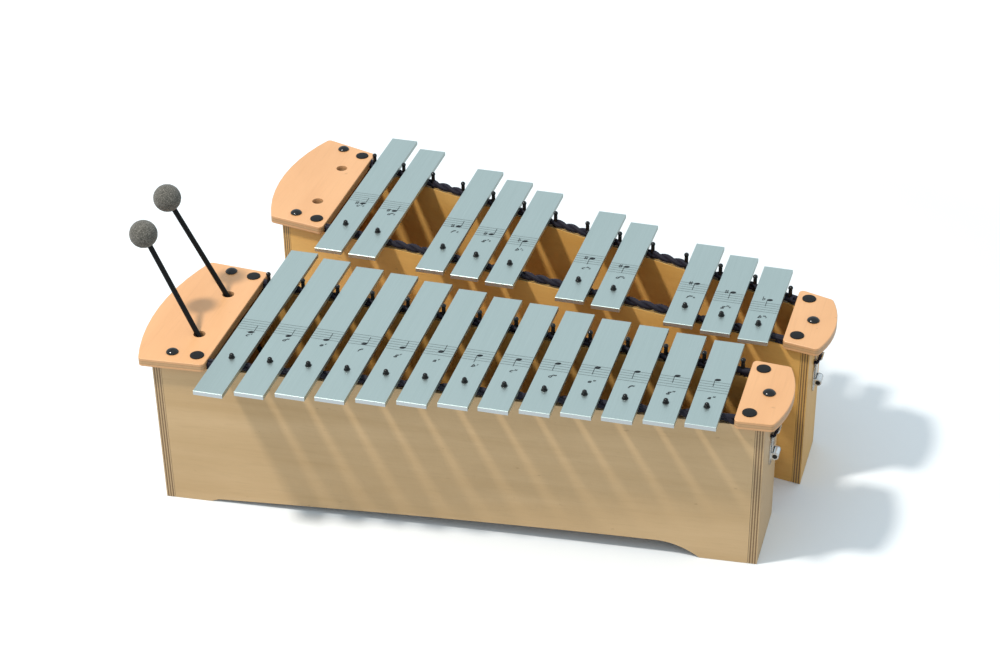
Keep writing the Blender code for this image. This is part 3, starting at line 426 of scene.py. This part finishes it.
for box in (DIATONIC, CHROMATIC):
    long_panels = (("front_panel", box.front_slope(), box.front_face), ("rear_panel", box.rear_slope(), box.rear_face))
    for node, slope, face in long_panels:
        normal = box.direction(-slope, 1)
        start = normal.dot(box.matrix @ Vector((0, face(0), 0)))
        if node == "rear_panel":
            start -= PANEL
        turn = box.turn + math.atan(slope)
        # Every long panel but the diatonic front one takes the birch with painted warm bounce light.
        without_painted_bounce = box is DIATONIC and node == "front_panel"
        light, dark = (BIRCH_LIGHT, BIRCH_DARK) if without_painted_bounce else (BOUNCE_WARMED_LIGHT, BOUNCE_WARMED_DARK)
        set_material(f"{box.name}_{node}",
                     plywood(f"{box.name}_{node}_birch", light, dark, normal, start, turn, black_over=PINS_FROM))
    # The chromatic ends take the birch with painted warm bounce light too.
    light, dark = (BIRCH_LIGHT, BIRCH_DARK) if box is DIATONIC else (BOUNCE_WARMED_LIGHT, BOUNCE_WARMED_DARK)
    for node, x in (("left_end", box.left), ("right_end", box.right - PANEL)):
        normal = box.direction(1, 0)
        start = normal.dot(box.matrix @ Vector((x, 0, 0)))
        set_material(f"{box.name}_{node}",
                     plywood(f"{box.name}_{node}_birch", light, dark, normal, start, box.turn, 2))
    for node in ("left_top_board", "right_top_board"):
        set_material(f"{box.name}_{node}",
                     plywood(f"{box.name}_{node}_board", BOARD_LIGHT, BOARD_DARK, (0, 0, 1), BOX_HEIGHT + GAP,
                             box.turn, 1, 0.34, 3, DISCS_FROM, ((0.60, 0.36, 0.18), (0.46, 0.26, 0.12))))
    set_material(f"{box.name}_bottom_board",
                 plywood(f"{box.name}_bottom_birch", (0.50, 0.31, 0.13), (0.36, 0.20, 0.07), (0, 0, 1), 0.020,
                         box.turn, 0, 0.6, 3))
    set_material(f"{box.name}_tensioner_plate", STEEL)
    set_material(f"{box.name}_tensioner_lever", STEEL)
    set_material(f"{box.name}_tensioner_pin", CAP_BLACK)

# Bars keep their solids, with their edges softened
for note in NATURALS + RAISED:
    set_material(f"bar_{note}", METAL)
    bevel = frame["nodes"][f"bar_{note}"].modifiers.new("soft_edges", "BEVEL")
    bevel.width = 0.00022
    bevel.segments = 2
    bevel.limit_method = "ANGLE"
    bevel.angle_limit = math.radians(50)
    bevel.harden_normals = False


# Guide pins
def pin_profile(with_collar):
    ball = 0.00243
    centre = PIN_TOP - 0.0024
    profile = [(0.00165, BOX_HEIGHT + 0.0002)]
    if with_collar:
        low = BAR_TOP - 0.00045
        profile += [(0.00165, low), (0.0025, low), (0.00304, low + 0.0003), (0.00304, low + 0.0013)]
        profile += [(0.0027, low + 0.00165), (0.0021, low + 0.0017)]
        profile += round_profile(ball, centre, 58, 180, 12)
    else:
        ball = 0.00258
        profile += [(0.0024, BOX_HEIGHT + 0.0003), (0.0022, BOX_HEIGHT + 0.0016), (0.0020, centre - 0.0024)]
        profile += round_profile(ball, centre - 0.0001, 46, 180, 12)
    return profile


for box in (DIATONIC, CHROMATIC):
    bm = bmesh.new()
    for _, x in box.bars:
        add_turned(bm, pin_profile(True), box.matrix @ Matrix.Translation((x, box.front_line(x), 0)), 24)
    for x in box.rear_pins():
        add_turned(bm, pin_profile(False), box.matrix @ Matrix.Translation((x, box.rear_line(x), 0)), 24)
    new_piece(f"{box.name}_guide_pins", bm, PIN_BLACK, f"{box.name}_box", 50)


# Rubber discs and screw caps
def board_spots(box):
    spots = []
    for edge, sign in ((box.left_edge, -1), (box.right_edge, 1)):
        x = edge + sign * 0.0123
        spots.append((x, box.front_face(x) - BOARD_FRONT_OVERHANG + 0.0155))
        spots.append((x, box.rear_face(x) + BOARD_REAR_OVERHANG - 0.0130))
    return spots


for box in (DIATONIC, CHROMATIC):
    bm = bmesh.new()
    rim = 0.00705
    height = 0.00124
    for x, y in board_spots(box):
        profile = [(rim, 0.00005), (rim, height - 0.0005)]
        profile += [(rim - 0.0005 + 0.0005 * math.cos(a), height - 0.0005 + 0.0005 * math.sin(a))
                    for a in (math.radians(d) for d in (30, 60, 90))]
        profile += [(0.0, height + 0.00004)]
        add_turned(bm, profile, box.matrix @ Matrix.Translation((x, y, BOARD_TOP)), 48)
    new_piece(f"{box.name}_rubber_discs", bm, RUBBER, f"{box.name}_box")
    for k in (1, 2, 3):
        node = f"{box.name}_screw_cap_{k}"
        low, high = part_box(node)
        centre = (low + high) / 2
        bm = bmesh.new()
        rim = 0.0063
        profile = [(0.0033, low.z + 0.0002), (0.0033, BOARD_TOP + GAP), (rim - 0.0002, BOARD_TOP + GAP)]
        top = high.z
        profile += [(rim, BOARD_TOP + GAP + 0.00025)]
        rise = top - (BOARD_TOP + GAP + 0.00025)
        for i in range(1, 13):
            angle = math.pi / 2 * i / 12
            profile.append((rim * math.cos(angle), BOARD_TOP + GAP + 0.00025 + rise * math.sin(angle) ** 1.25))
        add_turned(bm, profile, Matrix.Translation((centre.x, centre.y, 0)), 48)
        cap = new_piece(f"{node}_dome", bm, CAP_BLACK, f"{box.name}_box", 60)
        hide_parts(node)


# Cords: the part's route, laid as two twisted strands
def smooth_route(points, step):
    route = []
    count = len(points)
    for i in range(count - 1):
        p0, p1, p2, p3 = points[max(i - 1, 0)], points[i], points[i + 1], points[min(i + 2, count - 1)]
        span = (p2.xyz - p1.xyz).length
        parts = max(1, round(span / step))
        straight = span > 0.07
        for k in range(parts):
            t = k / parts
            bend = 2 * p1 + (p2 - p0) * t + (2 * p0 - 5 * p1 + 4 * p2 - p3) * t**2 + (3 * p1 - 3 * p2 + p3 - p0) * t**3
            route.append(p1 + (p2 - p1) * t if straight else bend / 2)
    route.append(points[-1])
    return route


def between(start, end, shares, radius):
    return Vector([a + (b - a) * s for a, b, s in zip(start, end, shares)] + [radius])


def line_points(line, inner_x, outer_x):
    points = []
    for share, dip in ((0.0, 0.0), (0.55, 0.25), (1.0, 1.0)):
        x = inner_x + (outer_x - inner_x) * share
        points.append(Vector((x, line(x), CORD_HEIGHT - 0.0043 * dip, CORD_RADIUS)))
    return points


def left_branch(box, line, side):
    points = line_points(line, box.first_x - BAR_WIDTH / 4, box.left_edge)
    edge = points[-1].xyz
    hole = (box.left + PANEL, box.middle(0) + side * 0.012, LEFT_HOLE_HEIGHT)
    for shares in ((0.28, 0.14, 0.32), (0.60, 0.42, 0.62), (0.86, 0.80, 0.90), (1.0, 1.0, 1.0)):
        points.append(between(edge, hole, shares, CORD_RADIUS))
    points.append(Vector((box.left, hole[1], hole[2], CORD_RADIUS)))
    return points


def left_bow(box):
    points = []
    for degrees in (30, 60, 90, 120, 150):
        angle = math.radians(degrees)
        points.append(Vector((box.left - CORD_RADIUS / 2 - 0.012 * math.sin(angle),
                              box.middle(0) - 0.012 * math.cos(angle), LEFT_HOLE_HEIGHT, CORD_RADIUS)))
    return points


def hook_middle(box):
    return box.middle(box.right) + 0.0055


def right_branch(box, line, side):
    points = line_points(line, box.last_x + BAR_WIDTH / 4, box.right_edge)
    edge = points[-1].xyz
    hole = (box.right - PANEL - STRAND_RADIUS, hook_middle(box) + side * 0.0085, STRAND_HEIGHT)
    points.append(between(edge, hole, (0.42, 0.24, 0.22), CORD_RADIUS))
    points.append(between(edge, hole, (0.66, 0.62, 0.56), CORD_RADIUS))
    points.append(between(edge, hole, (0.78, 0.90, 0.84), (CORD_RADIUS + STRAND_RADIUS) / 2))
    points.append(between(edge, hole, (1.0, 1.0, 1.0), STRAND_RADIUS))
    points.append(Vector((box.right - PANEL / 2, hole[1], hole[2], STRAND_RADIUS)))
    points.append(Vector((box.right + PLATE_FACE + GAP, hole[1], hole[2], STRAND_RADIUS)))
    return points


def loop_route(box):
    start = box.right + PLATE_FACE + 2 * GAP
    trough = box.right + 0.0052
    middle = hook_middle(box)
    points = []
    for side in (-1, 1):
        arm = []
        for out, reach, rise in ((0.0, 1.0, 0.0), (0.25, 1.0, 0.0), (0.62, 0.98, 0.32), (0.88, 0.90, 0.80),
                                 (1.0, 0.74, 1.0)):
            x = start + (trough - start) * out
            y = middle + side * 0.0085 * reach
            arm.append(Vector((x, y, STRAND_HEIGHT + 0.0042 * rise, STRAND_RADIUS)))
        points += arm if side == -1 else arm[::-1]
    return points


def add_twisted(bm, route, pitch, matrix, strands=2, sides=10):
    """Strands twisted round a route of (x, y, z, radius)."""
    centres = [matrix @ p.xyz for p in route]
    count = len(centres)
    tangents = [(centres[min(i + 1, count - 1)] - centres[max(i - 1, 0)]).normalized() for i in range(count)]
    normal = tangents[0].orthogonal().normalized()
    frames = []
    length = 0.0
    for i in range(count):
        if i:
            length += (centres[i] - centres[i - 1]).length
            normal = (normal - tangents[i] * normal.dot(tangents[i])).normalized()
        frames.append((normal.copy(), tangents[i].cross(normal).normalized(), length))
    for strand in range(strands):
        path = []
        for centre, (n, b, at) in zip(centres, frames):
            angle = 2 * math.pi * (at / pitch + strand / strands)
            path.append((n * math.cos(angle) + b * math.sin(angle), centre))
        lay = [centre + out * route[i].w * 0.46 for i, (out, centre) in enumerate(path)]
        rings = []
        for i, place in enumerate(lay):
            along = (lay[min(i + 1, count - 1)] - lay[max(i - 1, 0)]).normalized()
            out = path[i][0]
            out = (out - along * out.dot(along)).normalized()
            side = along.cross(out)
            r = route[i].w * 0.54
            rings.append([bm.verts.new(place + (out * math.cos(2 * math.pi * k / sides)
                                                + side * math.sin(2 * math.pi * k / sides) * 1.10) * r)
                          for k in range(sides)])
        bm.faces.new(rings[0][::-1])
        bm.faces.new(rings[-1])
        for low, high in zip(rings, rings[1:]):
            for k in range(sides):
                j = (k + 1) % sides
                bm.faces.new((low[k], low[j], high[j], high[k]))


for box in (DIATONIC, CHROMATIC):
    points = right_branch(box, box.front_line, -1)[::-1] + left_branch(box, box.front_line, -1) + left_bow(box)
    points += left_branch(box, box.rear_line, 1)[::-1] + right_branch(box, box.rear_line, 1)
    bm = bmesh.new()
    add_twisted(bm, smooth_route(points, 0.0022), 0.034, box.matrix)
    rope = new_piece(f"{box.name}_twisted_cord", bm, CORD, f"{box.name}_box", 80)
    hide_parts(f"{box.name}_cord")
    bm = bmesh.new()
    add_twisted(bm, smooth_route(loop_route(box), 0.0009), 0.012, box.matrix, 2, 8)
    bow = new_piece(f"{box.name}_twisted_bow", bm, CORD, f"{box.name}_tension_lever", 80)
    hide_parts(f"{box.name}_cord_loop")


# Notes printed on the bars
LINE_SPACE = 0.0044
INK_HEIGHT = BAR_TOP + 0.00005
STEPS = {letter: place for place, letter in enumerate("cdefgab")}


def add_patch(bm, points):
    bm.faces.new([bm.verts.new((x, y, INK_HEIGHT)) for x, y in points])


def add_stroke(bm, x0, y0, x1, y1, width):
    direction = Vector((x1 - x0, y1 - y0)).normalized()
    across = Vector((-direction.y, direction.x)) * width / 2
    add_patch(bm, [(x0 - across.x, y0 - across.y), (x1 - across.x, y1 - across.y),
                   (x1 + across.x, y1 + across.y), (x0 + across.x, y0 + across.y)])


def add_oval(bm, x, y, half_width, half_height, tilt):
    points = []
    for i in range(20):
        angle = 2 * math.pi * i / 20
        px = half_width * math.cos(angle)
        py = half_height * math.sin(angle)
        points.append((x + px * math.cos(tilt) - py * math.sin(tilt), y + px * math.sin(tilt) + py * math.cos(tilt)))
    add_patch(bm, points)


def add_sharp(bm, x, y, s):
    for dx in (-0.22, 0.22):
        add_stroke(bm, x + dx * s, y - 0.85 * s, x + dx * s, y + 0.85 * s, 0.14 * s)
    for dy in (-0.30, 0.30):
        add_stroke(bm, x - 0.5 * s, y + (dy - 0.1) * s, x + 0.5 * s, y + (dy + 0.1) * s, 0.24 * s)


def add_flat(bm, x, y, s):
    add_stroke(bm, x - 0.28 * s, y - 0.5 * s, x - 0.28 * s, y + 1.35 * s, 0.15 * s)
    previous = (-0.28, 0.35)
    for point in ((0.0, 0.5), (0.26, 0.32), (0.2, 0.0), (-0.02, -0.28), (-0.28, -0.5)):
        add_stroke(bm, x + previous[0] * s, y + previous[1] * s, x + point[0] * s, y + point[1] * s, 0.20 * s)
        previous = point


def note_name(note):
    """The pitch letter in its octave, written with primes, and its accidental."""
    letter = note[0]
    octave = int(note[-1])
    accidental = "♯" if "sharp" in note else "♭" if "flat" in note else ""
    return letter, octave, accidental


def add_lettering(bm, text, x, y, size):
    """Slanted letters as flat patches."""
    curve = bpy.data.curves.new("letters", "FONT")
    curve.body = text
    curve.size = size
    curve.shear = 0.35
    curve.offset = 0.00022
    curve.align_x = "CENTER"
    curve.resolution_u = 3
    carrier = bpy.data.objects.new("letters", curve)
    bpy.context.scene.collection.objects.link(carrier)
    mesh = bpy.data.meshes.new_from_object(carrier.evaluated_get(bpy.context.evaluated_depsgraph_get()))
    bpy.data.objects.remove(carrier)
    mesh.transform(Matrix.Translation((x, y, INK_HEIGHT)))
    bm.from_mesh(mesh)
    bpy.data.meshes.remove(mesh)


for box in (DIATONIC, CHROMATIC):
    for index, (note, x) in enumerate(box.bars):
        letter, octave, accidental = note_name(note)
        along = (x - box.first_x) / (box.last_x - box.first_x)
        middle = box.bar_centre(x) - 0.0125 + 0.004 * along
        bottom = middle - 2 * LINE_SPACE
        half = BAR_WIDTH / 2 - 0.0003
        bm = bmesh.new()
        for line in range(5):
            y = bottom + line * LINE_SPACE
            add_stroke(bm, x - half, y, x + half, y, 0.00042)
        step = STEPS[letter] + 7 * (octave - 4)
        head_y = bottom + (step - 2) * LINE_SPACE / 2
        head_x = x + 0.0016 + (0.0012 if accidental else 0)
        add_oval(bm, head_x, head_y, 0.0031, 0.0021, math.radians(18))
        if step < 1:
            add_stroke(bm, head_x - 0.0045, head_y, head_x + 0.0045, head_y, 0.0005)
        if step < 6:
            add_stroke(bm, head_x + 0.0026, head_y + 0.0006, head_x + 0.0026, head_y + 0.0130, 0.00065)
        else:
            add_stroke(bm, head_x - 0.0026, head_y - 0.0006, head_x - 0.0026, head_y - 0.0130, 0.00065)
        if "sharp" in note:
            add_sharp(bm, head_x - 0.0066, head_y, 0.0040)
        if "flat" in note:
            add_flat(bm, head_x - 0.0062, head_y, 0.0042)
        primes = "'" * (octave - 3)
        add_lettering(bm, letter + primes, x + 0.0005 - (0.001 if accidental else 0), bottom - 0.0125, 0.0076)
        if "sharp" in note:
            add_sharp(bm, x + 0.0052, bottom - 0.0100, 0.0021)
        if "flat" in note:
            add_flat(bm, x + 0.0052, bottom - 0.0104, 0.0021)
        bm.transform(box.matrix)
        mesh = bpy.data.meshes.new(f"note_{note}")
        bm.to_mesh(mesh)
        bm.free()
        mesh.materials.append(INK)
        marks = bpy.data.objects.new(f"note_{note}", mesh)
        bpy.context.scene.collection.objects.link(marks)
        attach(marks, f"bar_{note}")


# Mallets
def mallet_frame(k):
    """Matrix along the shaft, from the CAD joint's axis and the middle of the head."""
    axis = Vector(next(j["axis"] for j in frame["joints"] if j["name"] == f"mallet_{k}_pull")).normalized()
    low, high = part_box(f"mallet_{k}_head")
    return Matrix.Translation((low + high) / 2) @ axis.to_track_quat("Z", "Y").to_matrix().to_4x4()


for k in (1, 2):
    matrix = mallet_frame(k)
    bm = bmesh.new()
    bmesh.ops.create_icosphere(bm, subdivisions=5, radius=0.01415, matrix=matrix)
    for v in bm.verts:
        offset = v.co - matrix.translation
        ripple = random.uniform(-0.00018, 0.00010)
        v.co = matrix.translation + offset * (1 + ripple / 0.01415)
    head = new_piece(f"mallet_{k}_felt", bm, FELT, f"mallet_{k}", 80)
    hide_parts(f"mallet_{k}_head")
    bm = bmesh.new()
    tip = 0.0002 - MALLET_LENGTH
    shaft = [(0.0, tip), (0.0014, tip + 0.0002), (0.0021, tip + 0.0010), (0.0024, tip + 0.0024),
             (0.0027, tip + 0.13), (0.00275, tip + 0.2), (0.00275, -0.0002)]
    add_turned(bm, shaft, matrix, 32)
    rod = new_piece(f"mallet_{k}_shaft", bm, SHAFT, f"mallet_{k}", 50)
    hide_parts(f"mallet_{k}_handle")

# Floor, light and camera
floor_mesh = bpy.data.meshes.new("floor")
floor_bm = bmesh.new()
bmesh.ops.create_grid(floor_bm, x_segments=1, y_segments=1, size=9.0)
floor_bm.to_mesh(floor_mesh)
floor_bm.free()
floor = bpy.data.objects.new("floor", floor_mesh)
floor.location = (0.3, 2.0, -0.0002)
bpy.context.scene.collection.objects.link(floor)
f = Shader("pale_floor")
unevenness = f.noise(f.place((3, 3, 3)), 1.0, 2.0)
near = f.ramp(unevenness, [(0.2, (0.835, 0.855, 0.87)), (0.8, (0.845, 0.865, 0.88))])
rays = f.tree.nodes.new("ShaderNodeLightPath")
f.link(f.mix(rays.outputs["Is Camera Ray"], (0.52, 0.52, 0.52), near), f.bsdf.inputs["Base Color"])
reach = f.tree.nodes.new("ShaderNodeVectorMath")
reach.operation = "LENGTH"
f.link(f.place((1, 1, 1), 0.0, (-0.05, 1.8, 0)), reach.inputs[0])
far = f.tree.nodes.new("ShaderNodeMapRange")
far.interpolation_type = "SMOOTHSTEP"
f.link(reach.outputs["Value"], far.inputs["Value"])
far.inputs["From Min"].default_value = 0.62
far.inputs["From Max"].default_value = 1.15
f.link(f.math("MULTIPLY", far.outputs["Result"], f.math("MULTIPLY", rays.outputs["Is Camera Ray"], 0.45)),
       f.bsdf.inputs["Emission Strength"])
f.set(Roughness=0.9, Specular_IOR_Level=0.2, Emission_Color=(1, 1, 1, 1))
floor_mesh.materials.append(f.material)

world = bpy.data.worlds.new("studio")
world.use_nodes = True
bpy.context.scene.world = world
tree = world.node_tree
background = tree.nodes["Background"]
background.inputs["Color"].default_value = (0.82, 0.94, 1.02, 1)
background.inputs["Strength"].default_value = 0.90
seen = tree.nodes.new("ShaderNodeBackground")
seen.inputs["Color"].default_value = (1, 1, 1, 1)
seen.inputs["Strength"].default_value = 1.0
path = tree.nodes.new("ShaderNodeLightPath")
mixed = tree.nodes.new("ShaderNodeMixShader")
tree.links.new(path.outputs["Is Camera Ray"], mixed.inputs[0])
tree.links.new(background.outputs[0], mixed.inputs[1])
tree.links.new(seen.outputs[0], mixed.inputs[2])
tree.links.new(mixed.outputs[0], tree.nodes["World Output"].inputs["Surface"])

key = bpy.data.lights.new("key", "AREA")
key.shape = "DISK"
key.size = 0.34
key.energy = 90
key.color = (1.0, 0.965, 0.91)
lamp = bpy.data.objects.new("key", key)
lamp.location = (-1.13, -0.96, 3.0)
lamp.rotation_euler = (Vector((0.3, 0.1, 0.1)) - lamp.location).to_track_quat("-Z", "Y").to_euler()
bpy.context.scene.collection.objects.link(lamp)

camera = bpy.data.cameras.new("camera")
camera.sensor_width = 36.0
camera.lens = 79.92
camera.shift_x = 0.0068
camera.shift_y = 0.0326
camera.clip_end = 50
camera_object = bpy.data.objects.new("camera", camera)
forward = Vector((-0.2332, 0.8045, -0.5463)).normalized()
right = Vector((0.9629, 0.2694, -0.0144)).normalized()
up = right.cross(forward).normalized()
right = forward.cross(up)
rotation = Matrix((right, up, -forward)).transposed().to_4x4()
camera_object.matrix_world = Matrix.Translation((0.8379, -1.7707, 1.3631)) @ rotation
bpy.context.scene.collection.objects.link(camera_object)
bpy.context.scene.camera = camera_object
bpy.context.scene.view_settings.view_transform = "Standard"
